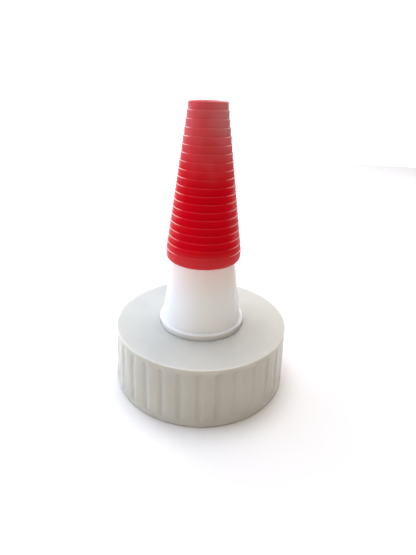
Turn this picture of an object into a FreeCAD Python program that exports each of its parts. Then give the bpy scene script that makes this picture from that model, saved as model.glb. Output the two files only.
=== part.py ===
"""Screw-on pouring cap for a 38 mm bottle neck, with a long push-on sealing tip.

Four moulded pieces: a fluted screw collar, a tapered pouring nozzle whose flange is clamped under
the collar's deck, a neck gasket round the nozzle's plug seal, and a stepped sealing tip.
Millimetres, +Z up, origin on the axis in the plane of the collar's lower rim.
"""
import FreeCAD, Part
import math
import os

from FreeCAD import Vector

# ---------------------------------------------------------------- driving dimensions, mm
# Screw collar
COLLAR_HEIGHT = 15.0          # lower rim to the top of the deck
COLLAR_R_TOP = 20.5           # outside of the skirt just below the deck's rounded edge
COLLAR_R_BOTTOM = 21.14       # the skirt flares a little towards its lower rim
DECK_THICKNESS = 1.4
DECK_EDGE_ROUND = 0.2
DECK_HOLE_ROUND = 0.08
RIM_EDGE_ROUND = 0.45
ROOT_R = 18.95                # plain inside wall, at the roots of the thread

# Finger flutes
FLUTE_COUNT = 32
FLUTE_CUTTER_R = 1.3
FLUTE_DEPTH = 0.22
FLUTE_BOTTOM_Z = 1.5
FLUTE_TOP_Z = 13.9

# Neck thread: one start, right handed, six threads to the inch
THREAD_CREST_R = 17.85
THREAD_PITCH = 25.4 / 6
THREAD_TURNS = 1.25
THREAD_FIRST_Z = 2.9          # middle of the ridge at its lower end
THREAD_CREST_WIDTH = 0.9
THREAD_ROOT_WIDTH = 2.1

# Nozzle
NOZZLE_R_AT_DECK = 9.69       # outside of the cone, carried down to the deck
NOZZLE_TAPER = 0.1523         # loss of radius per millimetre of height
NOZZLE_TOP_Z = 62.0
NOZZLE_WALL = 1.1
OUTLET_R = 1.5
OUTLET_LENGTH = 4.0
BOSS_R = 10.15
BOSS_HEIGHT = 1.4             # how far the boss stands above the deck
BOSS_EDGE_ROUND = 0.45
BOSS_FILLET_R = 0.2           # inside corner between the boss and the cone
FLANGE_R = 17.6
FLANGE_THICKNESS = 1.3
PLUG_R = 15.2
PLUG_WALL = 1.0
PLUG_LENGTH = 3.05
PLUG_LEAD_IN = 1.0

# Gasket
GASKET_THICKNESS = 1.2

# Sealing tip
TIP_MOUTH_Z = 31.4
TIP_LAST_LEDGE_Z = 34.13      # lowest ledge, at the top of the plain base band
TIP_STEP_PITCH = 1.585
TIP_LEDGE_COUNT = 19
TIP_TOP_RING_R = 4.0
TIP_STEP_WIDTH = 0.235        # gain of radius per step
TIP_RING_DRAFT = 0.06         # each ring widens by this much on its way down
TIP_MOUTH_ROUND = 0.9
TIP_DISH_R = 2.9
TIP_DISH_DEPTH = 0.7
PIN_LENGTH = 3.0

# Fits between pieces
BOSS_CLEARANCE = 0.06         # running fit, nozzle boss in the deck's hole
FLANGE_GAP = 0.05             # flange below the deck
PIN_CLEARANCE = 0.06          # sealing pin in the outlet
TIP_CLEARANCE = 0.12          # tip's bore round the cone
TIP_END_GAP = 0.12            # tip's bore end above the nozzle's end face
GASKET_CLEARANCE = 0.05       # gasket round the plug seal

AXIS = Vector(0, 0, 1)
ORIGIN = Vector(0, 0, 0)

# ---------------------------------------------------------------- sizes that follow
DECK_UNDERSIDE_Z = COLLAR_HEIGHT - DECK_THICKNESS
FLANGE_TOP_Z = DECK_UNDERSIDE_Z - FLANGE_GAP
FLANGE_BOTTOM_Z = FLANGE_TOP_Z - FLANGE_THICKNESS
DECK_HOLE_R = BOSS_R + BOSS_CLEARANCE
FLARE = (COLLAR_R_BOTTOM - COLLAR_R_TOP) / COLLAR_HEIGHT
PIN_R = OUTLET_R - PIN_CLEARANCE
RUNOUT_BOX = 9.0              # side of the boxes that fade the thread's ends, past the ridge


def point(radius, z):
    """A point of a profile in the XZ half plane."""
    return Vector(radius, 0, z)


def revolve(edges):
    """Turn a closed profile of edges about the axis into a solid."""
    face = Part.Face(Part.Wire(Part.__sortEdges__(edges)))
    solid = face.revolve(ORIGIN, AXIS, 360)
    return solid if solid.ShapeType == "Solid" else solid.Solids[0]


def outline(corners):
    """Closed profile edges through corners, each (radius, z) or (radius, z, rounding).

    A corner with a rounding is replaced by an arc that is tangent to both of its sides.
    """
    count = len(corners)
    stops = []
    edges = []
    for i, corner in enumerate(corners):
        here = point(*corner[:2])
        if len(corner) == 2:
            stops.append((here, here))
            continue
        before = (point(*corners[i - 1][:2]) - here).normalize()
        after = (point(*corners[(i + 1) % count][:2]) - here).normalize()
        half_angle = before.getAngle(after) / 2
        reach = corner[2] / math.tan(half_angle)
        start = here + before * reach
        end = here + after * reach
        bisector = (before + after).normalize()
        centre = here + bisector * (corner[2] / math.sin(half_angle))
        middle = centre - bisector * corner[2]
        edges.append(Part.Arc(start, middle, end).toShape())
        stops.append((start, end))
    for i in range(count):
        start = stops[i][1]
        end = stops[(i + 1) % count][0]
        if start.distanceToPoint(end) > 1e-6:
            edges.append(Part.LineSegment(start, end).toShape())
    return edges


def cone_r(z):
    """Outside radius of the nozzle's cone at height z."""
    return NOZZLE_R_AT_DECK - NOZZLE_TAPER * (z - COLLAR_HEIGHT)


# ---------------------------------------------------------------- screw collar
def collar_shell():
    """The collar without its flutes and thread: a flared skirt and a deck with a round hole."""
    return revolve(outline([
        (DECK_HOLE_R, DECK_UNDERSIDE_Z),
        (ROOT_R, DECK_UNDERSIDE_Z, 0.5),
        (ROOT_R, 0.9),
        (ROOT_R + 0.5, 0),
        (COLLAR_R_BOTTOM, 0, RIM_EDGE_ROUND),
        (COLLAR_R_TOP, COLLAR_HEIGHT, DECK_EDGE_ROUND),
        (DECK_HOLE_R, COLLAR_HEIGHT, DECK_HOLE_ROUND),
    ]))


def flute_cutter():
    """A round-ended bar that leans with the skirt's flare and cuts one scooped flute."""
    length = FLUTE_TOP_Z - FLUTE_BOTTOM_Z
    # a round end meets the skirt short of its pole by the height of the cap outside the skin
    end_reach = math.sqrt(FLUTE_CUTTER_R ** 2 - (FLUTE_CUTTER_R - FLUTE_DEPTH) ** 2)
    bar_length = length - 2 * end_reach
    bar = Part.makeCylinder(FLUTE_CUTTER_R, bar_length)
    lower_end = Part.makeSphere(FLUTE_CUTTER_R)
    upper_end = Part.makeSphere(FLUTE_CUTTER_R, Vector(0, 0, bar_length))
    cutter = bar.fuse([lower_end, upper_end]).removeSplitter()
    cutter.rotate(ORIGIN, Vector(0, 1, 0), -math.degrees(math.atan(FLARE)))
    first_z = FLUTE_BOTTOM_Z + end_reach
    skin_r = COLLAR_R_BOTTOM - FLARE * first_z
    cutter.translate(Vector(skin_r + FLUTE_CUTTER_R - FLUTE_DEPTH, 0, first_z))
    return cutter


def flute_cutters():
    """All the flutes, one of them on the -Y side that faces forwards."""
    cutters = []
    for i in range(FLUTE_COUNT):
        cutter = flute_cutter()
        cutter.rotate(ORIGIN, AXIS, -90 + i * 360 / FLUTE_COUNT)
        cutters.append(cutter)
    return cutters


def thread_end_cutter(tangent_deg, side, z_low, z_high):
    """A box that fades one end of the ridge out to nothing.

    Its outer face is tangent to a circle just inside the crest at tangent_deg, so along the side
    given (-1 below that angle, 1 above it) less and less of the ridge is left outside it.
    """
    plane_r = THREAD_CREST_R - 0.05
    corner = Vector(plane_r - RUNOUT_BOX, 0 if side > 0 else -RUNOUT_BOX, z_low)
    cutter = Part.makeBox(RUNOUT_BOX, RUNOUT_BOX, z_high - z_low, corner)
    cutter.rotate(ORIGIN, AXIS, tangent_deg)
    return cutter


def thread_ridge():
    """The neck thread: a trapezoid ridge carried up a helix, with a cylindrical crest."""
    height = THREAD_PITCH * THREAD_TURNS
    path = Part.makeHelix(THREAD_PITCH, height, ROOT_R)
    inner_r = THREAD_CREST_R - 0.6
    outer_r = ROOT_R + 0.5
    slope = (THREAD_ROOT_WIDTH - THREAD_CREST_WIDTH) / 2 / (ROOT_R - THREAD_CREST_R)
    inner_half = THREAD_CREST_WIDTH / 2 - slope * (THREAD_CREST_R - inner_r)
    outer_half = THREAD_ROOT_WIDTH / 2 + slope * (outer_r - ROOT_R)
    section = Part.makePolygon([
        point(inner_r, -inner_half),
        point(outer_r, -outer_half),
        point(outer_r, outer_half),
        point(inner_r, inner_half),
        point(inner_r, -inner_half),
    ])
    sweep = Part.Wire(path.Edges).makePipeShell([section], True, True)
    sweep.translate(Vector(0, 0, THREAD_FIRST_Z))
    band = Part.makeCylinder(ROOT_R + 0.3, COLLAR_HEIGHT)
    band = band.cut(Part.makeCylinder(THREAD_CREST_R, COLLAR_HEIGHT))
    ridge = sweep.common(band)
    # the tangent plane leaves the root circle this many degrees from where it touches
    fade_deg = math.degrees(math.acos((THREAD_CREST_R - 0.05) / ROOT_R))
    last_deg = 360 * THREAD_TURNS
    between_turns = THREAD_FIRST_Z + THREAD_PITCH / 2
    lower = thread_end_cutter(fade_deg, -1, -1, between_turns)
    upper_z = THREAD_FIRST_Z + height - THREAD_PITCH / 2
    upper = thread_end_cutter(last_deg - fade_deg, 1, upper_z, COLLAR_HEIGHT)
    return ridge.cut([lower, upper])


def screw_collar():
    """The fluted screw collar with its neck thread."""
    body = collar_shell().cut(flute_cutters())
    body = body.fuse(thread_ridge())
    return body.Solids[0]


# ---------------------------------------------------------------- pouring nozzle
def pour_nozzle():
    """The tapered nozzle with its boss, clamping flange and plug seal, open right through."""
    boss_top_z = COLLAR_HEIGHT + BOSS_HEIGHT
    bore_r_low = cone_r(COLLAR_HEIGHT) - NOZZLE_WALL
    land_z = NOZZLE_TOP_Z - OUTLET_LENGTH
    bore_end_z = land_z - 1.0
    return revolve(outline([
        (bore_r_low + 0.25, FLANGE_BOTTOM_Z, 0.6),
        (PLUG_R - PLUG_WALL, FLANGE_BOTTOM_Z, 0.4),
        (PLUG_R - PLUG_WALL, FLANGE_BOTTOM_Z - PLUG_LENGTH),
        (PLUG_R - 0.4, FLANGE_BOTTOM_Z - PLUG_LENGTH),
        (PLUG_R, FLANGE_BOTTOM_Z - PLUG_LENGTH + PLUG_LEAD_IN),
        (PLUG_R, FLANGE_BOTTOM_Z),
        (FLANGE_R, FLANGE_BOTTOM_Z),
        (FLANGE_R, FLANGE_TOP_Z, 0.25),
        (BOSS_R, FLANGE_TOP_Z),
        (BOSS_R, boss_top_z, BOSS_EDGE_ROUND),
        (cone_r(boss_top_z), boss_top_z, BOSS_FILLET_R),
        (cone_r(NOZZLE_TOP_Z), NOZZLE_TOP_Z, 0.3),
        (OUTLET_R, NOZZLE_TOP_Z),
        (OUTLET_R, land_z),
        (cone_r(bore_end_z) - NOZZLE_WALL, bore_end_z),
    ]))


# ---------------------------------------------------------------- neck gasket
def neck_gasket():
    """The flat washer that seals the flange to the lip of the bottle."""
    inner_r = PLUG_R + GASKET_CLEARANCE
    bottom_z = FLANGE_BOTTOM_Z - GASKET_THICKNESS
    return revolve(outline([
        (inner_r, bottom_z),
        (FLANGE_R, bottom_z),
        (FLANGE_R, FLANGE_BOTTOM_Z),
        (inner_r, FLANGE_BOTTOM_Z),
    ]))


# ---------------------------------------------------------------- sealing tip
def tip_steps():
    """Corners of the tip's stepped outside, from its mouth up to its top edge."""
    corners = []
    band_r = TIP_TOP_RING_R + TIP_STEP_WIDTH * TIP_LEDGE_COUNT
    corners.append((band_r - 0.05, TIP_MOUTH_Z, TIP_MOUTH_ROUND))
    for i in range(TIP_LEDGE_COUNT):
        ledge_z = TIP_LAST_LEDGE_Z + i * TIP_STEP_PITCH
        lower_r = band_r - i * TIP_STEP_WIDTH
        upper_r = lower_r - TIP_STEP_WIDTH + TIP_RING_DRAFT
        corners.append((lower_r, ledge_z))
        corners.append((upper_r, ledge_z))
    top_z = TIP_LAST_LEDGE_Z + TIP_LEDGE_COUNT * TIP_STEP_PITCH
    corners.append((TIP_TOP_RING_R, top_z, 0.35))
    return corners, top_z


def sealing_tip():
    """The hollow stepped tip, with a dished top and the pin that closes the nozzle's outlet."""
    corners, top_z = tip_steps()
    bore_end_z = NOZZLE_TOP_Z + TIP_END_GAP
    pin_end_z = NOZZLE_TOP_Z - PIN_LENGTH
    corners += [
        (TIP_DISH_R, top_z, 0.3),
        (TIP_DISH_R - 0.5, top_z - TIP_DISH_DEPTH, 0.3),
        (0, top_z - TIP_DISH_DEPTH),
        (0, pin_end_z),
        (PIN_R, pin_end_z, 0.4),
        (PIN_R, bore_end_z),
        (cone_r(bore_end_z) + TIP_CLEARANCE, bore_end_z),
        (cone_r(TIP_MOUTH_Z) + TIP_CLEARANCE, TIP_MOUTH_Z),
    ]
    return revolve(outline(corners))


# ---------------------------------------------------------------- export
PIECES = {
    "screw_collar": screw_collar,
    "pour_nozzle": pour_nozzle,
    "neck_gasket": neck_gasket,
    "sealing_tip": sealing_tip,
}


def main():
    """Build each piece and write it to its own STEP file."""
    os.makedirs("parts", exist_ok=True)
    for name, make in PIECES.items():
        shape = make()
        box = shape.optimalBoundingBox(False)
        print(f"{name}: valid {shape.isValid()}, solids {len(shape.Solids)}, "
              f"volume {shape.Volume:.1f} mm3, r {box.XMax:.2f}, z {box.ZMin:.2f} to {box.ZMax:.2f}")
        shape.exportStep(f"parts/{name}.step")


main()
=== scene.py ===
"""Looks of a screw-on pouring cap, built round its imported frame.

Four moulded pieces are turned as fine surfaces over their frame nodes: a fluted screw collar, a
tapered nozzle, a neck gasket and a stepped sealing tip. Profiles are written in millimetres, as
(radius, height) with the height above the collar's lower rim, and are scaled to metres when a mesh
is made. The main heights and radii are read from the frame's own boxes.
"""
import logging
import math
from dataclasses import dataclass, field
from enum import Enum
from typing import Callable, Optional, Sequence

import bpy
import numpy as np
from mathutils import Matrix, Vector


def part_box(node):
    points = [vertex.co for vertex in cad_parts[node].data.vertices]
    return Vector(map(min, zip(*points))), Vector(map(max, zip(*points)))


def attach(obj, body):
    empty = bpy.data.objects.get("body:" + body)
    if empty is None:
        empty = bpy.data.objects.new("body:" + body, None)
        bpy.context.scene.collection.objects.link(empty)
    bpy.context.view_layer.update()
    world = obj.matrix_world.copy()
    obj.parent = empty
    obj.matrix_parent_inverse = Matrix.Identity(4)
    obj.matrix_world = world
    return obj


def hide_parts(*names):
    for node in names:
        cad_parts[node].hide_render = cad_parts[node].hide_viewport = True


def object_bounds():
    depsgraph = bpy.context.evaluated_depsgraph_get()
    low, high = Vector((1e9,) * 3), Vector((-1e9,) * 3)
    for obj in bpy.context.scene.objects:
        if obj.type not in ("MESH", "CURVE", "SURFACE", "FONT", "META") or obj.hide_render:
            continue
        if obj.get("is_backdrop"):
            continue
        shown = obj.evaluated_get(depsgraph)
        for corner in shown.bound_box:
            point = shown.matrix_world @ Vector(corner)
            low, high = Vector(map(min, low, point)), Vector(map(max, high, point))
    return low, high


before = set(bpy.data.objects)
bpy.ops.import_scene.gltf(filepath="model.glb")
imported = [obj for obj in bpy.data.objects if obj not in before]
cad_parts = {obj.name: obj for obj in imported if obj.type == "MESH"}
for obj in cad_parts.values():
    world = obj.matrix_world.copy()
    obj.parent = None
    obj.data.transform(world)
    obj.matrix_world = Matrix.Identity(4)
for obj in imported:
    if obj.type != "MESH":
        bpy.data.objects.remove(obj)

LOG = logging.getLogger("pouring_cap")
MM = 0.001
ARC_STEP_DEG = 15.0     # longest step round a corner's arc
SUPPORT_MM = 0.05       # how close to its ends a straight run gets a point of its own
SAME_MM = 1e-6          # points closer than this are one point
FAR_MM = 1e9

Corner = tuple[float, float, float]
Relief = Callable[[np.ndarray, np.ndarray, np.ndarray], np.ndarray]


# ---------------------------------------------------------------- outlines and turned surfaces
def corner(radius: float, height: float, rounding: float = 0.0) -> Corner:
    """A corner of a profile, in millimetres, with the radius of the arc that rounds it."""
    return (radius, height, rounding)


def arc_points(before: np.ndarray, here: np.ndarray, after: np.ndarray,
               rounding: float) -> np.ndarray:
    """Points of the arc that rounds one corner.

    The arc touches both sides. It starts and ends at rounding / tan(half the corner's angle) from
    the corner, and its centre is on the corner's bisector at rounding / sin(half the angle).

    Args:
        before: The corner before this one.
        here: This corner.
        after: The corner after this one.
        rounding: The arc's radius.

    Returns:
        The points from the first side to the second, or the corner itself where it isn't rounded.
    """
    if rounding <= 0:
        return here[None, :]
    into = (before - here) / np.linalg.norm(before - here)
    out = (after - here) / np.linalg.norm(after - here)
    half = math.acos(float(np.clip(into @ out, -1, 1))) / 2
    bisector = (into + out) / np.linalg.norm(into + out)
    centre = here + bisector * rounding / math.sin(half)
    start = here + into * rounding / math.tan(half) - centre
    end = here + out * rounding / math.tan(half) - centre
    turn = math.acos(float(np.clip(start @ end / rounding**2, -1, 1)))
    steps = max(3, math.ceil(math.degrees(turn) / ARC_STEP_DEG) + 1)
    share = np.linspace(0, 1, steps)[:, None]
    # between two radii of one circle, weights of sines keep the point on the circle
    mixed = np.sin((1 - share) * turn) * start + np.sin(share * turn) * end
    return centre + mixed / math.sin(turn)


def outline(corners: Sequence[Corner], closed: bool, longest: float = FAR_MM) -> np.ndarray:
    """A profile through corners, with the rounded ones as arcs.

    Each straight run gets a support point close to both of its ends, which keeps its shading flat
    up to the arc, and points between them no further apart than the longest step.

    Args:
        corners: The corners in order, with the material on the left of the way round.
        closed: Whether the last corner joins the first.
        longest: The longest step along a straight run, in millimetres.

    Returns:
        An (n, 2) array of radius and height, in millimetres.
    """
    places = np.array([c[:2] for c in corners], float)
    count = len(corners)
    arcs = []
    for i, (_, _, rounding) in enumerate(corners):
        size = rounding if closed or 0 < i < count - 1 else 0
        arcs.append(arc_points(places[i - 1], places[i], places[(i + 1) % count], size))
    points = []
    for i, arc in enumerate(arcs):
        points.append(arc)
        if i == count - 1 and not closed:
            break
        start, end = arc[-1], arcs[(i + 1) % count][0]
        length = float(np.linalg.norm(end - start))
        if length < SAME_MM:
            continue
        support = min(SUPPORT_MM, length / 4) / length
        inside = max(2, math.ceil(length / longest) + 1)
        share = np.linspace(support, 1 - support, inside)[:, None]
        points.append(start + share * (end - start))
    line = np.concatenate(points)
    gap = np.linalg.norm(line - np.roll(line, 1, axis=0), axis=1)
    keep = gap > SAME_MM
    keep[0] = keep[0] or not closed
    return line[keep]


def with_heights(line: np.ndarray, heights: np.ndarray, lowest_radius: float,
                 highest_radius: float) -> np.ndarray:
    """A profile with extra points where its steep sides cross given heights.

    Args:
        line: The closed profile.
        heights: The heights to add.
        lowest_radius: Only sides outside this radius are cut.
        highest_radius: Only sides inside this radius are cut.

    Returns:
        The profile with a point, by linear interpolation, at each crossing.
    """
    pieces = []
    for here, after in zip(line, np.roll(line, -1, axis=0)):
        pieces.append(here[None, :])
        radii = sorted((here[0], after[0]))
        rise = after[1] - here[1]
        if radii[0] < lowest_radius or radii[1] > highest_radius or abs(rise) < SAME_MM:
            continue
        share = (heights - here[1]) / rise
        share = np.sort(share[(share > 1e-3) & (share < 1 - 1e-3)])[:, None]
        pieces.append(here + share * (after - here))
    return np.concatenate(pieces)


@dataclass(frozen=True)
class TurnedSurface:
    """A profile carried round the Z axis, with an optional relief on its radius.

    The surface is a grid: point (i, j) has the radius and height of profile point i, less the
    relief there, at the angle j / columns of a full turn. Seams and poles are closed.

    Attributes:
        line: The profile, (n, 2), in millimetres.
        columns: How many steps make a full turn.
        closed: Whether the profile is a closed loop.
        relief: The depth to take off the radius, given arrays of radius, height and angle.
        lip: How much of a ring's lip each profile point is, 0 to 1, kept as the "lip" attribute,
            the mask for a painted highlight.
    """

    line: np.ndarray
    columns: int
    closed: bool
    relief: Optional[Relief] = None
    lip: Optional[np.ndarray] = None

    def piece(self, name: str) -> bpy.types.Object:
        """Make the mesh object.

        Args:
            name: The object's name.

        Returns:
            The object, linked to the scene, smooth shaded, with its place in its mesh.
        """
        angle = np.arange(self.columns) * 2 * np.pi / self.columns
        radius, turn = np.meshgrid(self.line[:, 0], angle, indexing="ij")
        height = np.repeat(self.line[:, 1][:, None], self.columns, axis=1)
        if self.relief is not None:
            radius = radius - self.relief(radius, height, turn)
        grid = np.stack([radius * np.cos(turn), radius * np.sin(turn), height], axis=-1) * MM
        number = np.arange(grid.shape[0] * self.columns).reshape(grid.shape[:2])
        at_pole = self.line[:, 0] < SAME_MM
        number[at_pole] = number[at_pole, :1]
        used, renumbered = np.unique(number, return_inverse=True)
        number = renumbered.reshape(number.shape)
        points = grid.reshape(-1, 3)[used]
        upper = np.roll(number, -1, axis=0)
        faces = np.stack([number, np.roll(number, -1, 1), np.roll(upper, -1, 1), upper], axis=-1)
        if not self.closed:
            faces = faces[:-1]
        faces = faces.reshape(-1, 4)
        low_pole = faces[:, 0] == faces[:, 1]
        high_pole = faces[:, 2] == faces[:, 3]
        quads = faces[~low_pole & ~high_pole]
        triangles = np.concatenate([faces[low_pole][:, 1:], faces[high_pole & ~low_pole][:, :3]])
        mesh = bpy.data.meshes.new(name)
        mesh.from_pydata(points.tolist(), [], quads.tolist() + triangles.tolist())
        mesh.polygons.foreach_set("use_smooth", np.ones(len(mesh.polygons), bool))
        if self.lip is not None:
            lip_mask = np.repeat(self.lip[:, None], self.columns, axis=1).reshape(-1)[used]
            kept = mesh.attributes.new("lip", "FLOAT", "POINT").data
            kept.foreach_set("value", lip_mask.astype(np.float32))
        mesh.validate()
        mesh.update()
        made = bpy.data.objects.new(name, mesh)
        bpy.context.scene.collection.objects.link(made)
        return made


# ---------------------------------------------------------------- nodes and colours
def linear(hex_colour: str) -> tuple[float, float, float, float]:
    """Turn an sRGB hex colour into linear RGBA.

    Each channel below 0.04045 is divided by 12.92; the others are ((c + 0.055) / 1.055) ** 2.4.
    """
    channels = [int(hex_colour.lstrip("#")[i:i + 2], 16) / 255 for i in (0, 2, 4)]
    values = [c / 12.92 if c <= 0.04045 else ((c + 0.055) / 1.055) ** 2.4 for c in channels]
    return (values[0], values[1], values[2], 1.0)


def add_node(tree: bpy.types.NodeTree, kind: str, settings: Optional[dict] = None,
             links: Optional[dict] = None) -> bpy.types.Node:
    """Add a node with its settings and links.

    Args:
        tree: The tree that gets the node.
        kind: The node's type.
        settings: Values by property name, input name or input number.
        links: Output sockets by the input name or number that they feed.

    Returns:
        The node.
    """
    node = tree.nodes.new(kind)
    for name, value in (settings or {}).items():
        if isinstance(name, int) or name in node.inputs:
            node.inputs[name].default_value = value
        else:
            setattr(node, name, value)
    for name, source in (links or {}).items():
        tree.links.new(source, node.inputs[name])
    return node


@dataclass(frozen=True)
class MouldedResin:
    """Injection-moulded polyethylene, the common base of every finish here.

    A polished mould leaves a soft gloss with a faint orange peel, fine handling scuffs that only
    show in the gloss, and a slow cloudiness in the colour where the melt cooled unevenly.

    Attributes:
        name: The material's name.
        colour: The resin's colour.
        cloud_colour: The colour of its cloudier patches.
        roughness: The roughness of clean gloss.
        scuffed_roughness: The roughness where it has been handled.
        scatter: How much of the light enters the resin.
        scatter_reach_mm: How far red, green and blue light travel in it.
        cloud_mm: Size of the cloudy patches.
        peel_mm: Spacing of the orange peel.
        peel_depth_mm: Height of the orange peel.
        scuff_mm: Spacing of the scuffs, as coarse as they need to show.
        ior: Index of refraction of polyethylene.
        specular: The shader's specular level, lower where pigment dulls the skin.
    """

    name: str
    colour: str
    cloud_colour: str
    roughness: float = 0.16
    scuffed_roughness: float = 0.2
    scatter: float = 1.0
    scatter_reach_mm: tuple[float, float, float] = (5.0, 4.6, 4.0)
    cloud_mm: float = 7.0
    peel_mm: float = 1.6
    peel_depth_mm: float = 0.004
    scuff_mm: float = 2.5
    ior: float = 1.51
    specular: float = 0.5

    def tint(self, tree: bpy.types.NodeTree, place: bpy.types.NodeSocket) -> bpy.types.NodeSocket:
        """The resin's colour, which turns slowly cloudy and back.

        Args:
            tree: The material's tree.
            place: Object coordinates.

        Returns:
            The colour's socket.
        """
        cloud = add_node(tree, "ShaderNodeTexNoise",
                         {"Scale": 1 / (self.cloud_mm * MM), "Detail": 2.0, "Roughness": 0.5},
                         {"Vector": place})
        blend = add_node(tree, "ShaderNodeMapRange",
                         {"From Min": 0.35, "From Max": 0.65}, {"Value": cloud.outputs["Fac"]})
        return add_node(tree, "ShaderNodeMix",
                        {"data_type": "RGBA", 6: linear(self.colour), 7: linear(self.cloud_colour)},
                        {0: blend.outputs["Result"]}).outputs[2]

    def gloss(self, tree: bpy.types.NodeTree, place: bpy.types.NodeSocket) -> bpy.types.NodeSocket:
        """The roughness, which rises where handling has scuffed the skin.

        Args:
            tree: The material's tree.
            place: Object coordinates.

        Returns:
            The roughness's socket.
        """
        scuffs = add_node(tree, "ShaderNodeTexNoise",
                          {"Scale": 1 / (self.scuff_mm * MM), "Detail": 2.0, "Roughness": 0.5},
                          {"Vector": place})
        return add_node(tree, "ShaderNodeMapRange",
                        {"From Min": 0.42, "From Max": 0.72, "To Min": self.roughness,
                         "To Max": self.scuffed_roughness},
                        {"Value": scuffs.outputs["Fac"]}).outputs[0]

    def material(self) -> bpy.types.Material:
        """Build the material.

        Returns:
            The material, with its colour, gloss and relief from solid noise in object space.
        """
        made = bpy.data.materials.new(self.name)
        made.use_nodes = True
        tree = made.node_tree
        tree.nodes.clear()
        place = add_node(tree, "ShaderNodeTexCoord").outputs["Object"]
        peel = add_node(tree, "ShaderNodeTexNoise",
                        {"Scale": 1 / (self.peel_mm * MM), "Detail": 1.0, "Roughness": 0.4},
                        {"Vector": place})
        relief = add_node(tree, "ShaderNodeBump",
                          {"Strength": 1.0, "Distance": self.peel_depth_mm * MM},
                          {"Height": peel.outputs["Fac"]})
        shader = add_node(tree, "ShaderNodeBsdfPrincipled",
                          {"IOR": self.ior, "Specular IOR Level": self.specular,
                           "Subsurface Weight": self.scatter,
                           "Subsurface Radius": self.scatter_reach_mm, "Subsurface Scale": MM},
                          {"Base Color": self.tint(tree, place),
                           "Roughness": self.gloss(tree, place),
                           "Normal": relief.outputs["Normal"]})
        add_node(tree, "ShaderNodeOutputMaterial", None, {"Surface": shader.outputs["BSDF"]})
        return made


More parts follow.
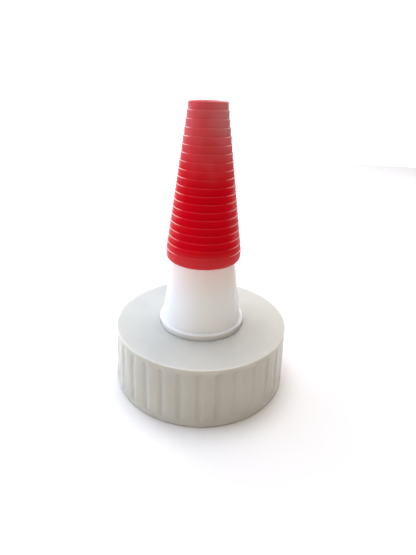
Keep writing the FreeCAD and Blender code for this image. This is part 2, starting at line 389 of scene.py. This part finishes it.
@dataclass(frozen=True)
class PaintedSheenResin(MouldedResin):
    """Dyed red resin with painted highlights and a painted reflection.

    The lips of the rings get a painted highlight, strongest on the left and right sides. Near
    the top a painted soft reflection fades out downwards and is strongest on the right side.

    Attributes:
        lip_highlight_colour: The painted highlight on a lip at its fullest.
        least_lip_highlight: How much of it the lips get halfway between the left and right sides.
        painted_reflection_colour: The painted soft reflection's colour, also used on the band round
            the mouth.
        reflection_from_mm: The height at which the painted reflection begins.
        reflection_full_mm: The height at which it is strongest.
        reflection_share: Its share of the colour there, before the side's factor.
        reflection_patch_mm: Size of the patches that make the painted reflection uneven.
        reflection_wander_mm: How far they shift it up and down in all.
        bright_side_from_mm: Where along X the brighter right side begins.
        bright_side_full_mm: Where along X the brighter right side is reached.
        dim_side_factor: What the painted reflection is multiplied by on the left.
        bright_side_factor: What it is multiplied by on the right.
        mouth_share: The share of the same pale colour on the band round the mouth.
        mouth_to_mm: The height of that band's upper edge.
        mouth_fade_mm: Half the height over which that edge fades.
        lip_highlight_side_from: The sideways share of the outward direction from which the lips get
            the painted highlight.
    """

    lip_highlight_colour: str = "#F6BDB8"
    least_lip_highlight: float = 0.04
    painted_reflection_colour: str = "#CDB9BB"
    reflection_from_mm: float = 47.0
    reflection_full_mm: float = 64.0
    reflection_share: float = 0.24
    reflection_patch_mm: float = 5.0
    reflection_wander_mm: float = 6.0
    bright_side_from_mm: float = -1.0
    bright_side_full_mm: float = 4.0
    dim_side_factor: float = 0.8
    bright_side_factor: float = 1.7
    mouth_share: float = 0.08
    mouth_to_mm: float = 34.2
    mouth_fade_mm: float = 1.5
    lip_highlight_side_from: float = 0.6

    def tint(self, tree: bpy.types.NodeTree, place: bpy.types.NodeSocket) -> bpy.types.NodeSocket:
        """The dyed colour, with a painted reflection by height and painted highlights on the lips.

        The painted reflection's share is a smooth step of height, shifted by noise, times a smooth
        step of X.
        The lips' painted highlight is the "lip" attribute times a smooth step of how far the
        outward direction, the place with its height taken out and scaled to length one, points
        sideways.

        Args:
            tree: The material's tree.
            place: Object coordinates.

        Returns:
            The colour's socket.
        """
        dyed = super().tint(tree, place)
        axes = add_node(tree, "ShaderNodeSeparateXYZ", None, {"Vector": place}).outputs
        # Painted soft reflection near the top, fading downwards and strongest on the right.
        uneven = add_node(tree, "ShaderNodeTexNoise",
                          {"Scale": 1 / (self.reflection_patch_mm * MM), "Detail": 1.0},
                          {"Vector": place})
        wander = add_node(tree, "ShaderNodeMath",
                          {"operation": "MULTIPLY_ADD", 1: self.reflection_wander_mm * MM,
                           2: -self.reflection_wander_mm / 2 * MM}, {0: uneven.outputs["Fac"]})
        level = add_node(tree, "ShaderNodeMath", {"operation": "ADD"},
                         {0: axes["Z"], 1: wander.outputs[0]})
        reflection_by_height = add_node(tree, "ShaderNodeMapRange",
                        {"interpolation_type": "SMOOTHSTEP", "From Min": self.reflection_from_mm * MM,
                         "From Max": self.reflection_full_mm * MM, "To Max": self.reflection_share},
                        {"Value": level.outputs[0]})
        reflection_by_side = add_node(tree, "ShaderNodeMapRange",
                         {"interpolation_type": "SMOOTHSTEP", "From Min": self.bright_side_from_mm * MM,
                          "From Max": self.bright_side_full_mm * MM, "To Min": self.dim_side_factor,
                          "To Max": self.bright_side_factor}, {"Value": axes["X"]})
        share = add_node(tree, "ShaderNodeMath", {"operation": "MULTIPLY"},
                         {0: reflection_by_height.outputs[0], 1: reflection_by_side.outputs[0]})
        # A paler band round the mouth, in the same colour.
        mouth = add_node(tree, "ShaderNodeMapRange",
                         {"interpolation_type": "SMOOTHSTEP",
                          "From Min": (self.mouth_to_mm - self.mouth_fade_mm) * MM,
                          "From Max": (self.mouth_to_mm + self.mouth_fade_mm) * MM,
                          "To Min": self.mouth_share, "To Max": 0.0}, {"Value": axes["Z"]})
        both = add_node(tree, "ShaderNodeMath", {"operation": "ADD"},
                        {0: share.outputs[0], 1: mouth.outputs[0]})
        reflected = add_node(tree, "ShaderNodeMix", {"data_type": "RGBA", 7: linear(self.painted_reflection_colour)},
                         {0: both.outputs[0], 6: dyed})
        # Painted highlight on the ring lips, strongest where the surface faces left or right.
        flat = add_node(tree, "ShaderNodeVectorMath", {"operation": "MULTIPLY", 1: (1.0, 1.0, 0.0)},
                        {0: place})
        outward = add_node(tree, "ShaderNodeVectorMath", {"operation": "NORMALIZE"},
                           {0: flat.outputs[0]})
        sideways = add_node(tree, "ShaderNodeSeparateXYZ", None, {"Vector": outward.outputs[0]})
        side_share = add_node(tree, "ShaderNodeMath", {"operation": "ABSOLUTE"},
                           {0: sideways.outputs["X"]})
        lip_highlight_by_side = add_node(tree, "ShaderNodeMapRange",
                        {"interpolation_type": "SMOOTHSTEP", "From Min": self.lip_highlight_side_from,
                         "From Max": 1.0, "To Min": self.least_lip_highlight}, {"Value": side_share.outputs[0]})
        lip = add_node(tree, "ShaderNodeAttribute", {"attribute_name": "lip"}).outputs["Fac"]
        pale = add_node(tree, "ShaderNodeMath", {"operation": "MULTIPLY"},
                        {0: lip, 1: lip_highlight_by_side.outputs[0]})
        return add_node(tree, "ShaderNodeMix", {"data_type": "RGBA", 7: linear(self.lip_highlight_colour)},
                        {0: pale.outputs[0], 6: reflected.outputs[2]}).outputs[2]


@dataclass(frozen=True)
class PaintedGlowResin(MouldedResin):
    """Undyed resin with a painted glow.

    Its colour is paler than the collar's, a painted glow for light passing through the wall. A
    painted red glow begins a little below the dyed neighbour's mouth and goes on beneath it. The
    boss at the foot is given a greyer colour, with less of the painted glow.

    Attributes:
        less_glow_foot_colour: The greyer colour of the foot, with less of the painted glow.
        foot_to_mm: The height up to which the foot's colour holds.
        glow_from_mm: The height from which the full painted glow holds.
        red_glow_colour: The painted red glow.
        red_glow_from_mm: The height at which the painted red glow begins.
        red_glow_full_mm: The height from which it is full.
    """

    less_glow_foot_colour: str = "#DEDDD9"
    foot_to_mm: float = 16.2
    glow_from_mm: float = 17.0
    red_glow_colour: str = "#F3E3DD"
    red_glow_from_mm: float = 21.0
    red_glow_full_mm: float = 32.0

    def tint(self, tree: bpy.types.NodeTree, place: bpy.types.NodeSocket) -> bpy.types.NodeSocket:
        """The undyed colour with its painted glow, greyer at the foot and with a painted red glow
        further up.

        Args:
            tree: The material's tree.
            place: Object coordinates.

        Returns:
            The colour's socket.
        """
        clean = super().tint(tree, place)
        height = add_node(tree, "ShaderNodeSeparateXYZ", None, {"Vector": place}).outputs["Z"]
        # Painted glow: the greyer foot gives way to the pale colour above it.
        glow_rise = add_node(tree, "ShaderNodeMapRange",
                        {"interpolation_type": "SMOOTHSTEP", "From Min": self.foot_to_mm * MM,
                         "From Max": self.glow_from_mm * MM}, {"Value": height})
        wall = add_node(tree, "ShaderNodeMix", {"data_type": "RGBA", 6: linear(self.less_glow_foot_colour)},
                        {0: glow_rise.outputs[0], 7: clean})
        # Painted red glow of light coming through the red tip, below its mouth.
        red_glow = add_node(tree, "ShaderNodeMapRange",
                         {"interpolation_type": "SMOOTHSTEP", "From Min": self.red_glow_from_mm * MM,
                          "From Max": self.red_glow_full_mm * MM}, {"Value": height})
        return add_node(tree, "ShaderNodeMix", {"data_type": "RGBA", 7: linear(self.red_glow_colour)},
                        {0: red_glow.outputs[0], 6: wall.outputs[2]}).outputs[2]


# Undyed polyethylene is milky because its crystals scatter light; a thick wall reads nearly white.
COLLAR_RESIN = MouldedResin("natural_polyethylene_moulded", "#BFBCB0", "#BBB8AC",
                            roughness=0.06, scuffed_roughness=0.1, scatter_reach_mm=(2.5, 2.3, 2.0))
# The same resin with a far paler colour than the collar's: a painted glow standing in for light
# passing through the nozzle's wall.
NOZZLE_RESIN = PaintedGlowResin("natural_polyethylene_painted_glow", "#F3F3F0", "#F1F1EE",
                            scatter_reach_mm=(0.9, 0.85, 0.8), specular=0.3)
# Pigmented polyethylene: deep red with a soft gloss; a little light still enters the edges.
# Its colour also carries a painted highlight on the ring lips and a painted reflection near the
# top.
TIP_RESIN = PaintedSheenResin("red_polyethylene_moulded", "#D00016", "#CA0013", roughness=0.18,
                         scuffed_roughness=0.22, specular=0.03, scatter_reach_mm=(0.5, 0.2, 0.15))
# Foamed polyethylene liner: a closed skin over fine cells, so dull and slightly pebbled.
GASKET_FOAM = MouldedResin("white_foamed_polyethylene", "#F0F0EC", "#E6E6E0", roughness=0.5,
                           scuffed_roughness=0.62, peel_mm=0.35, peel_depth_mm=0.03,
                           scatter_reach_mm=(1.0, 1.0, 0.9))


# ---------------------------------------------------------------- the pieces
def top_mm(node: str) -> float:
    """The height of a frame node's highest point, in millimetres."""
    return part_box(node)[1].z / MM


def bottom_mm(node: str) -> float:
    """The height of a frame node's lowest point, in millimetres."""
    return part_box(node)[0].z / MM


def radius_mm(node: str) -> float:
    """A frame node's largest radius, in millimetres."""
    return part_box(node)[1].x / MM


@dataclass
class Cone:
    """The nozzle's outside cone, which the tip's bore follows.

    Attributes:
        deck_z: The height of the collar's deck.
        radius_at_deck: The cone's radius carried down to the deck.
        taper: Its loss of radius per unit of height.
    """

    deck_z: float
    radius_at_deck: float = 9.69
    taper: float = 0.1523

    def radius(self, height: float) -> float:
        """The cone's radius at a height."""
        return self.radius_at_deck - self.taper * (height - self.deck_z)


@dataclass
class ScrewCollar:
    """The fluted screw collar: deck, flared skirt, finger flutes and neck thread.

    Attributes:
        height: The deck's height.
        top_radius: The skirt's radius just below the deck's edge.
        bottom_radius: The skirt's radius at its lower rim.
        root_radius: The plain inside wall, at the thread's root.
        hole_radius: The hole in the deck.
        flute_cutter: Radius of the round-ended bar whose bite is one flute.
        flute_bottom, flute_top: The heights that a flute runs between.
        flute_edge: How softly a flute meets the skin.
        flute_step: Spacing of the extra points at the flutes' ends.
        crest_radius: The thread's crest.
        crest_inset: How far inside the crest the plane lies that fades the thread's ends.
        thread_first: The middle of the ridge at its lower end.
        thread_band: The heights that hold the whole ridge.
        thread_step: Spacing of the extra points there.
        rim_round, deck_round: Roundings of the lower rim and of the deck's edge.
        outside_from: Radii past the root radius by this much are on the skirt.
        plain_low, plain_high: Strips at the skirt's ends that no flute reaches.
    """

    height: float
    top_radius: float = 20.5
    bottom_radius: float = 21.14
    root_radius: float = 18.95
    hole_radius: float = 10.16
    deck_thickness: float = 1.4
    flute_count: int = 32
    flute_cutter: float = 1.3
    flute_depth: float = 0.2
    flute_bottom: float = 1.5
    flute_top: float = 13.9
    flute_edge: float = 0.14
    columns_per_flute: int = 16
    crest_radius: float = 17.85
    thread_pitch: float = 25.4 / 6
    thread_turns: float = 1.25
    thread_first: float = 2.9
    crest_width: float = 0.9
    root_width: float = 2.1
    crest_inset: float = 0.05
    flute_step: float = 0.1
    thread_band: tuple[float, float] = (1.6, 9.6)
    thread_step: float = 0.14
    rim_round: float = 0.45
    deck_round: float = 0.2
    outside_from: float = 1.0
    plain_low: float = 0.6
    plain_high: float = 0.65

    def profile(self) -> np.ndarray:
        """The closed profile, outside up, deck inwards, inside down, rim outwards."""
        underside = self.height - self.deck_thickness
        line = outline([
            corner(self.bottom_radius, 0, self.rim_round),
            corner(self.top_radius, self.height, self.deck_round),
            corner(self.hole_radius, self.height, 0.05),
            corner(self.hole_radius, underside, 0.1),
            corner(self.root_radius, underside, 0.5),
            corner(self.root_radius, 0.9, 0.2),
            corner(self.root_radius + 0.5, 0, 0.1),
        ], closed=True, longest=2.0)
        ends = np.concatenate([np.arange(-0.2, 1.4, self.flute_step) + self.flute_bottom,
                               np.arange(-1.3, 0.3, self.flute_step) + self.flute_top])
        line = with_heights(line, ends, self.root_radius + self.outside_from, self.bottom_radius)
        thread = np.arange(*self.thread_band, self.thread_step)
        return with_heights(line, thread, self.root_radius - 0.1, self.root_radius + 0.1)

    def flute_relief(self, radius: np.ndarray, height: np.ndarray, turn: np.ndarray) -> np.ndarray:
        """Depth of the flutes in the skirt.

        Each flute is the bite of a round-ended bar. Across the flute its depth is the bar's circle
        less the bar's distance outside the skin; past either end of the bar the circle shrinks as
        the ball end does. A soft clip, half of (d + sqrt(d^2 + e^2)), rounds the edges by e.
        """
        pitch = 2 * np.pi / self.flute_count
        from_middle = (turn + np.pi / 2 + pitch / 2) % pitch - pitch / 2
        across = from_middle * radius
        reach = math.sqrt(self.flute_cutter**2 - (self.flute_cutter - self.flute_depth)**2)
        past_low = np.maximum(self.flute_bottom + reach - height, 0)
        past_high = np.maximum(height - self.flute_top + reach, 0)
        left = np.maximum(self.flute_cutter**2 - across**2 - past_low**2 - past_high**2, 0)
        depth = np.sqrt(left) - (self.flute_cutter - self.flute_depth)
        soft = (depth + np.sqrt(depth**2 + self.flute_edge**2)) / 2
        on_skirt = radius > self.root_radius + self.outside_from
        on_skirt &= (height > self.plain_low) & (height < self.height - self.plain_high)
        return np.where(on_skirt, soft, 0)

    def thread_relief(self, radius: np.ndarray, height: np.ndarray, turn: np.ndarray) -> np.ndarray:
        """Height of the thread on the inside wall, taken off the radius.

        The ridge is a trapezoid about a helix that climbs one pitch per turn. At each end a plane
        tangent just inside the crest cuts it away, so its height is at most the root radius less
        that plane's distance along the radius.
        """
        full = self.root_radius - self.crest_radius
        plane = self.crest_radius - self.crest_inset
        fade = math.acos(plane / self.root_radius)
        last = 2 * np.pi * self.thread_turns
        ridge = np.zeros_like(height)
        for lap in range(math.ceil(self.thread_turns)):
            along = turn + 2 * np.pi * lap
            offset = np.abs(height - self.thread_first - self.thread_pitch * along / (2 * np.pi))
            slope = full / ((self.root_width - self.crest_width) / 2)
            this = np.clip((self.root_width / 2 - offset) * slope, 0, full)
            to_end = np.minimum(along, last - along)
            angle = np.clip(fade - to_end, 0, fade)
            this = np.minimum(this, np.maximum(self.root_radius - plane / np.cos(angle), 0))
            ridge = np.where(to_end >= 0, np.maximum(ridge, this), ridge)
        on_wall = np.abs(radius - self.root_radius) < 0.05
        return np.where(on_wall & (height > 1.2) & (height < 10), ridge, 0)

    def relief(self, radius: np.ndarray, height: np.ndarray, turn: np.ndarray) -> np.ndarray:
        """Flutes outside and thread inside."""
        return self.flute_relief(radius, height, turn) + self.thread_relief(radius, height, turn)

    def build(self) -> bpy.types.Object:
        """Make the collar's surface."""
        columns = self.flute_count * self.columns_per_flute
        surface = TurnedSurface(self.profile(), columns, True, self.relief)
        return surface.piece("fluted_screw_collar")


@dataclass
class PourNozzle:
    """The tapered nozzle with its boss, clamping flange and plug seal.

    Attributes:
        cone: The outside cone.
        top: The height of the outlet.
        bottom: The height of the plug seal's lower end.
        flange_radius: The clamping flange's radius.
    """

    cone: Cone
    top: float
    bottom: float
    flange_radius: float
    wall: float = 1.1
    outlet_radius: float = 1.5
    outlet_length: float = 4.0
    boss_radius: float = 10.15
    boss_height: float = 1.4
    flange_top: float = 13.55
    flange_bottom: float = 12.25
    plug_radius: float = 15.2
    plug_wall: float = 1.0
    columns: int = 256

    def profile(self) -> np.ndarray:
        """The closed profile, plug seal outwards, flange, boss and cone up, bore down."""
        boss_top = self.cone.deck_z + self.boss_height
        land = self.top - self.outlet_length
        bore_low = self.cone.radius(self.cone.deck_z) - self.wall + 0.25
        return outline([
            corner(self.plug_radius - self.plug_wall, self.bottom, 0.1),
            corner(self.plug_radius - 0.4, self.bottom, 0.1),
            corner(self.plug_radius, self.bottom + 1.0, 0.5),
            corner(self.plug_radius, self.flange_bottom, 0.05),
            corner(self.flange_radius, self.flange_bottom, 0.1),
            corner(self.flange_radius, self.flange_top, 0.25),
            corner(self.boss_radius, self.flange_top, 0.05),
            corner(self.boss_radius, boss_top, 0.3),
            corner(self.cone.radius(boss_top), boss_top, 0.4),
            corner(self.cone.radius(self.top), self.top, 0.3),
            corner(self.outlet_radius, self.top, 0.1),
            corner(self.outlet_radius, land, 0.3),
            corner(self.cone.radius(land - 1.0) - self.wall, land - 1.0, 1.0),
            corner(bore_low, self.flange_bottom, 0.6),
            corner(self.plug_radius - self.plug_wall, self.flange_bottom, 0.4),
        ], closed=True, longest=1.5)

    def build(self) -> bpy.types.Object:
        """Make the nozzle's surface."""
        return TurnedSurface(self.profile(), self.columns, True).piece("tapered_nozzle")


@dataclass
class NeckGasket:
    """The flat washer between the nozzle's flange and the bottle's lip.

    Attributes:
        radius: Its outer radius.
        bottom: The height of its lower face.
        top: The height of its upper face.
        inner_radius: Its inner radius.
        columns: Steps round it.
    """

    radius: float
    bottom: float
    top: float
    inner_radius: float = 15.25
    columns: int = 160

    def build(self) -> bpy.types.Object:
        """Make the washer, with the slightly rolled edges of die-cut foam."""
        line = outline([
            corner(self.inner_radius, self.bottom, 0.12),
            corner(self.radius, self.bottom, 0.12),
            corner(self.radius, self.top, 0.12),
            corner(self.inner_radius, self.top, 0.12),
        ], closed=True, longest=0.8)
        return TurnedSurface(line, self.columns, True).piece("foam_neck_gasket")


@dataclass
class SealingTip:
    """The stepped push-on tip with its dished top and sealing pin.

    Attributes:
        cone: The nozzle's cone, which the bore follows.
        mouth: The height of the mouth.
        top: The height of the top edge.
        nozzle_top: The height of the nozzle's outlet.
    """

    cone: Cone
    mouth: float
    top: float
    nozzle_top: float
    ledge_count: int = 19
    step_pitch: float = 1.585
    step_width: float = 0.235
    top_ring_radius: float = 4.0
    ring_draft: float = 0.06
    ledge_edge: float = 0.12
    mouth_round: float = 0.9
    dish_radius: float = 2.9
    dish_depth: float = 0.7
    clearance: float = 0.12
    pin_radius: float = 1.44
    pin_length: float = 3.0
    columns: int = 224

    def steps(self) -> list[Corner]:
        """Corners of the stepped outside, from the mouth's edge to the top edge.

        Going up, each ring narrows by its draft, then a ledge takes the rest of the step off.
        """
        band_radius = self.top_ring_radius + self.step_width * self.ledge_count
        last_ledge = self.top - self.step_pitch * self.ledge_count
        found = [corner(band_radius - 0.05, self.mouth, self.mouth_round)]
        for i in range(self.ledge_count):
            ledge = last_ledge + i * self.step_pitch
            outer = band_radius - i * self.step_width
            found.append(corner(outer, ledge, self.ledge_edge))
            found.append(corner(outer - self.step_width + self.ring_draft, ledge, 0.02))
        found.append(corner(self.top_ring_radius, self.top, 0.35))
        return found

    def profile(self) -> np.ndarray:
        """The open profile, from the pin's end round the mouth to the middle of the dish."""
        bore_end = self.nozzle_top + self.clearance
        pin_end = self.nozzle_top - self.pin_length
        line = [
            corner(0, pin_end),
            corner(self.pin_radius, pin_end, 0.4),
            corner(self.pin_radius, bore_end, 0.1),
            corner(self.cone.radius(bore_end) + self.clearance, bore_end, 0.15),
            corner(self.cone.radius(self.mouth) + self.clearance, self.mouth, 0.1),
        ]
        line += self.steps()
        line += [
            corner(self.dish_radius, self.top, 0.3),
            corner(self.dish_radius - 0.5, self.top - self.dish_depth, 0.3),
            corner(0, self.top - self.dish_depth),
        ]
        return outline(line, closed=False, longest=1.6)

    def lips(self, line: np.ndarray) -> np.ndarray:
        """How much of a ring's lip each profile point is, where the painted highlight goes.

        It is one on the upper edge of each ring, within most of the edge's rounding, and fades to
        nothing just below it.
        """
        below = (self.top - line[:, 1]) % self.step_pitch
        below = np.where(line[:, 1] > self.top + SAME_MM, FAR_MM, below)
        outside = line[:, 0] > [self.cone.radius(z) + 0.5 for z in line[:, 1]]
        share = np.clip((1.4 * self.ledge_edge - below) / (0.5 * self.ledge_edge), 0, 1)
        return np.where(outside, share, 0)

    def build(self) -> bpy.types.Object:
        """Make the tip's surface."""
        line = self.profile()
        surface = TurnedSurface(line, self.columns, False, lip=self.lips(line))
        return surface.piece("stepped_sealing_tip")


# ---------------------------------------------------------------- the cap as a whole
@dataclass(frozen=True)
class Assignment:
    """Where a finished piece belongs: its body, the node it stands for, its slot and finish."""

    body: str
    node: str
    slot: str
    finish: MouldedResin


def fit_piece(piece: bpy.types.Object, place: Assignment) -> None:
    """Dress a piece and tie it to its body.

    Args:
        piece: The finished mesh object.
        place: What it rides on, stands for and is made of.
    """
    piece.data.materials.append(place.finish.material())
    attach(piece, place.body)
    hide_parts(place.node)
    LOG.info("%s: %d faces, rides on %s", piece.name, len(piece.data.polygons), place.body)


@dataclass
class PouringCap:
    """The whole cap, with its shared heights read from the frame."""

    cone: Cone = field(default_factory=lambda: Cone(top_mm("screw_collar")))

    def build(self) -> None:
        """Build, dress and fit the four pieces."""
        collar = ScrewCollar(top_mm("screw_collar"))
        nozzle = PourNozzle(self.cone, top_mm("pour_nozzle"), bottom_mm("pour_nozzle"),
                            radius_mm("pour_nozzle"))
        gasket = NeckGasket(radius_mm("neck_gasket"), bottom_mm("neck_gasket"),
                            top_mm("neck_gasket"))
        tip = SealingTip(self.cone, bottom_mm("sealing_tip"), top_mm("sealing_tip"),
                         top_mm("pour_nozzle"))
        for part, body, node, slot, finish in (
                (collar, "collar", "screw_collar", "collar_polyethylene", COLLAR_RESIN),
                (nozzle, "nozzle", "pour_nozzle", "nozzle_polyethylene", NOZZLE_RESIN),
                (gasket, "nozzle", "neck_gasket", "gasket_foam", GASKET_FOAM),
                (tip, "tip", "sealing_tip", "tip_polyethylene", TIP_RESIN)):
            fit_piece(part.build(), Assignment(body, node, slot, finish))


# ---------------------------------------------------------------- studio
class LightRole(Enum):
    """What each soft light does."""

    WINDOW = "cool_window_left"
    PANE = "bright_pane_behind_left"
    OVERHEAD = "softbox_overhead"
    FRONT = "warm_softbox_front"


@dataclass(frozen=True)
class SoftLight:
    """A rectangular soft light aimed at the cap.

    Attributes:
        role: What it does, which names it.
        place: Where it stands, in metres.
        size: Its width and height, in metres.
        power: Its power, in watts.
        colour: Its colour.
        target: The point it faces, in metres.
        spread_deg: How widely it shines, which a grid in front of it narrows.
    """

    role: LightRole
    place: tuple[float, float, float]
    size: tuple[float, float]
    power: float
    colour: str
    target: tuple[float, float, float] = (0.0, 0.0, 0.02)
    spread_deg: float = 180.0

    def build(self) -> bpy.types.Object:
        """Make the light."""
        data = bpy.data.lights.new(self.role.value, "AREA")
        data.shape = "RECTANGLE"
        data.size, data.size_y = self.size
        data.energy = self.power
        data.color = linear(self.colour)[:3]
        data.spread = math.radians(self.spread_deg)
        made = bpy.data.objects.new(self.role.value, data)
        made.location = self.place
        made.visible_camera = False
        aim = Vector(self.target) - Vector(self.place)
        made.rotation_euler = aim.to_track_quat("-Z", "Y").to_euler()
        bpy.context.scene.collection.objects.link(made)
        return made


LIGHTS = (
    SoftLight(LightRole.WINDOW, (-0.6, 0.05, 0.2), (0.45, 0.4), 2.3, "#D6E4FF"),
    SoftLight(LightRole.PANE, (-0.42, 0.42, 0.32), (0.12, 0.3), 0.9, "#EEF4FF"),
    SoftLight(LightRole.OVERHEAD, (-0.02, 0.2, 0.6), (0.5, 0.5), 1.4, "#E4EDFF",
              target=(-0.02, 0.16, 0.0), spread_deg=75.0),
    SoftLight(LightRole.FRONT, (0.05, -0.55, 0.12), (0.5, 0.2), 0.59, "#FFF4E4"),
)


@dataclass(frozen=True)
class CloseCamera:
    """A short lens close above the cap, looking slightly down.

    Attributes:
        distance: Its distance in front of the axis, in metres.
        height: Its height above the table, in metres.
        yaw_deg: Turn to the right.
        down_deg: Tilt below the horizon.
        roll_deg: Turn about its own line of sight.
        lens_mm: Focal length on a 36 mm sensor.
    """

    distance: float = 0.08418
    height: float = 0.06642
    yaw_deg: float = 0.862
    down_deg: float = 25.617
    roll_deg: float = 2.321
    lens_mm: float = 25.64

    def build(self) -> bpy.types.Object:
        """Make the camera and set it as the scene's own."""
        yaw, down, roll = (math.radians(a) for a in (self.yaw_deg, self.down_deg, self.roll_deg))
        level = math.cos(down)
        ahead = Vector((math.sin(yaw) * level, math.cos(yaw) * level, -math.sin(down)))
        right = ahead.cross(Vector((0, 0, 1))).normalized()
        above = right.cross(ahead)
        rolled_right = right * math.cos(roll) + above * math.sin(roll)
        rolled_above = above * math.cos(roll) - right * math.sin(roll)
        turn = Matrix((rolled_right, rolled_above, -ahead)).transposed().to_4x4()
        data = bpy.data.cameras.new("close_camera")
        data.lens = self.lens_mm
        data.sensor_width = 36.0
        data.clip_start = 0.005
        made = bpy.data.objects.new("close_camera", data)
        made.matrix_world = Matrix.Translation((0, -self.distance, self.height)) @ turn
        bpy.context.scene.collection.objects.link(made)
        bpy.context.scene.camera = made
        return made


@dataclass(frozen=True)
class Room:
    """The light of the room itself, as a soft sky of one direction.

    Attributes:
        front_low: Radiance near the horizon, in front of the cap and at its sides.
        front_high: Radiance above that.
        wall: Radiance of the white wall behind, up to a low height.
        upper: Radiance above that wall.
        right: What is left of the radiance far to the right.
        cool: Colour of the left half.
        warm: Colour of the right half.
        wooden: Colour near the horizon in front, where wooden furniture stands.
        plain: Colour near the horizon behind, where the wall is bare.
        front_rise: The direction's upward share over which the front brightens.
        wall_end: The upward share over which the wall behind ends.
        shade_range: The sideways share over which the right darkens.
        turn_back: The backward share over which front light turns into back light.
        warm_range: The sideways share over which cool turns into warm.
        wood_range: The backward share over which the wooden colour ends.
        wood_rise: The upward share over which it ends.
    """

    front_low: float = 0.18
    front_high: float = 0.45
    wall: float = 1.4
    upper: float = 0.9
    right: float = 0.22
    cool: str = "#D0E2FF"
    warm: str = "#FFE0BC"
    wooden: str = "#E8C8A0"
    plain: str = "#FFFFFF"
    front_rise: tuple[float, float] = (0.06, 0.26)
    wall_end: tuple[float, float] = (0.55, 0.8)
    shade_range: tuple[float, float] = (0.48, 0.75)
    turn_back: tuple[float, float] = (0.25, 0.7)
    warm_range: tuple[float, float] = (-0.15, 0.3)
    wood_range: tuple[float, float] = (-0.2, 0.4)
    wood_rise: tuple[float, float] = (0.2, 0.42)

    def build(self) -> None:
        """Make the world.

        Everything follows the direction in the sky. Radiance is a smooth step of its upward share
        in front, another behind, and a smooth step of its backward share between the two. Its
        sideways share dims what is far to the right and turns cool into warm.
        """
        world = bpy.data.worlds.new("pale_room")
        world.use_nodes = True
        tree = world.node_tree
        tree.nodes.clear()
        direction = add_node(tree, "ShaderNodeTexCoord").outputs["Generated"]
        axes = add_node(tree, "ShaderNodeSeparateXYZ", None, {"Vector": direction}).outputs
        steps = (
            ("front", "Z", self.front_rise, self.front_low, self.front_high),
            ("back", "Z", self.wall_end, self.wall, self.upper),
            ("bright", "X", self.shade_range, 1.0, self.right),
            ("warmth", "X", self.warm_range, 0.0, 1.0),
            ("behind", "Y", self.wood_range, 0.0, 1.0),
            ("above", "Z", self.wood_rise, 0.0, 1.0),
            ("backward", "Y", self.turn_back, 0.0, 1.0),
        )
        share = {name: add_node(tree, "ShaderNodeMapRange",
                                {"interpolation_type": "SMOOTHSTEP", "From Min": first,
                                 "From Max": last, "To Min": low, "To Max": high},
                                {"Value": axes[axis]}).outputs[0]
                 for name, axis, (first, last), low, high in steps}
        whole = add_node(tree, "ShaderNodeMix", {"data_type": "FLOAT"},
                         {0: share["backward"], 2: share["front"], 3: share["back"]}).outputs[0]
        radiance = add_node(tree, "ShaderNodeMath", {"operation": "MULTIPLY"},
                            {0: whole, 1: share["bright"]}).outputs[0]
        high = add_node(tree, "ShaderNodeMix",
                        {"data_type": "RGBA", 6: linear(self.cool), 7: linear(self.warm)},
                        {0: share["warmth"]})
        low = add_node(tree, "ShaderNodeMix",
                       {"data_type": "RGBA", 6: linear(self.wooden), 7: linear(self.plain)},
                       {0: share["behind"]})
        colour = add_node(tree, "ShaderNodeMix", {"data_type": "RGBA"},
                          {0: share["above"], 6: low.outputs[2], 7: high.outputs[2]})
        room = add_node(tree, "ShaderNodeBackground", None,
                        {"Color": colour.outputs[2], "Strength": radiance})
        add_node(tree, "ShaderNodeOutputWorld", None, {"Surface": room.outputs["Background"]})
        bpy.context.scene.world = world


@dataclass(frozen=True)
class Studio:
    """A pale table in a pale room, four soft lights and the camera.

    Attributes:
        table_radius_mm: The round table's radius.
        table_thickness_mm: How thick its top is.
        table_edge_mm: The rounding of its edge.
        table_columns: Steps round it.
        table_centre: How far in front of the cap the table's middle is, in metres.
        table_colour: Its paint.
        room: The room's light.
    """

    table_radius_mm: float = 1800.0
    table_thickness_mm: float = 30.0
    table_edge_mm: float = 3.0
    table_columns: int = 128
    table_centre: float = 1.45
    table_colour: str = "#E8E2D8"
    room: Room = Room()

    def table(self) -> bpy.types.Object:
        """A round table top, whose middle is in front of the cap."""
        line = outline([
            corner(0, -self.table_thickness_mm),
            corner(self.table_radius_mm, -self.table_thickness_mm, self.table_edge_mm),
            corner(self.table_radius_mm, 0, self.table_edge_mm),
            corner(0, 0),
        ], closed=False)
        made = TurnedSurface(line, self.table_columns, False).piece("table_top")
        made.data.transform(Matrix.Translation((0, -self.table_centre, 0)))
        paint = bpy.data.materials.new("matt_white_lacquer")
        paint.use_nodes = True
        tree = paint.node_tree
        tree.nodes.clear()
        shader = add_node(tree, "ShaderNodeBsdfPrincipled",
                          {"Base Color": linear(self.table_colour), "Roughness": 0.7})
        add_node(tree, "ShaderNodeOutputMaterial", None, {"Surface": shader.outputs["BSDF"]})
        made.data.materials.append(paint)
        made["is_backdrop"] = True
        return made

    def build(self) -> None:
        """Make the table, the room's light, the lamps and the camera."""
        self.table()
        self.room.build()
        for light in LIGHTS:
            light.build()
        CloseCamera().build()
        bpy.context.scene.view_settings.view_transform = "Standard"


def box_as_lists() -> list[list[float]]:
    """The shown object's lowest and highest corners, as plain lists."""
    return [[round(float(v), 6) for v in end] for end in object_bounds()]


def main(cad_box: list[list[float]]) -> None:
    """Build the cap and its studio.

    Args:
        cad_box: The frame's own box, from before any piece was made. It is not used.
    """
    logging.basicConfig(level=logging.INFO, format="%(name)s: %(message)s")
    PouringCap().build()
    Studio().build()


if __name__ == "__main__":
    main(box_as_lists())
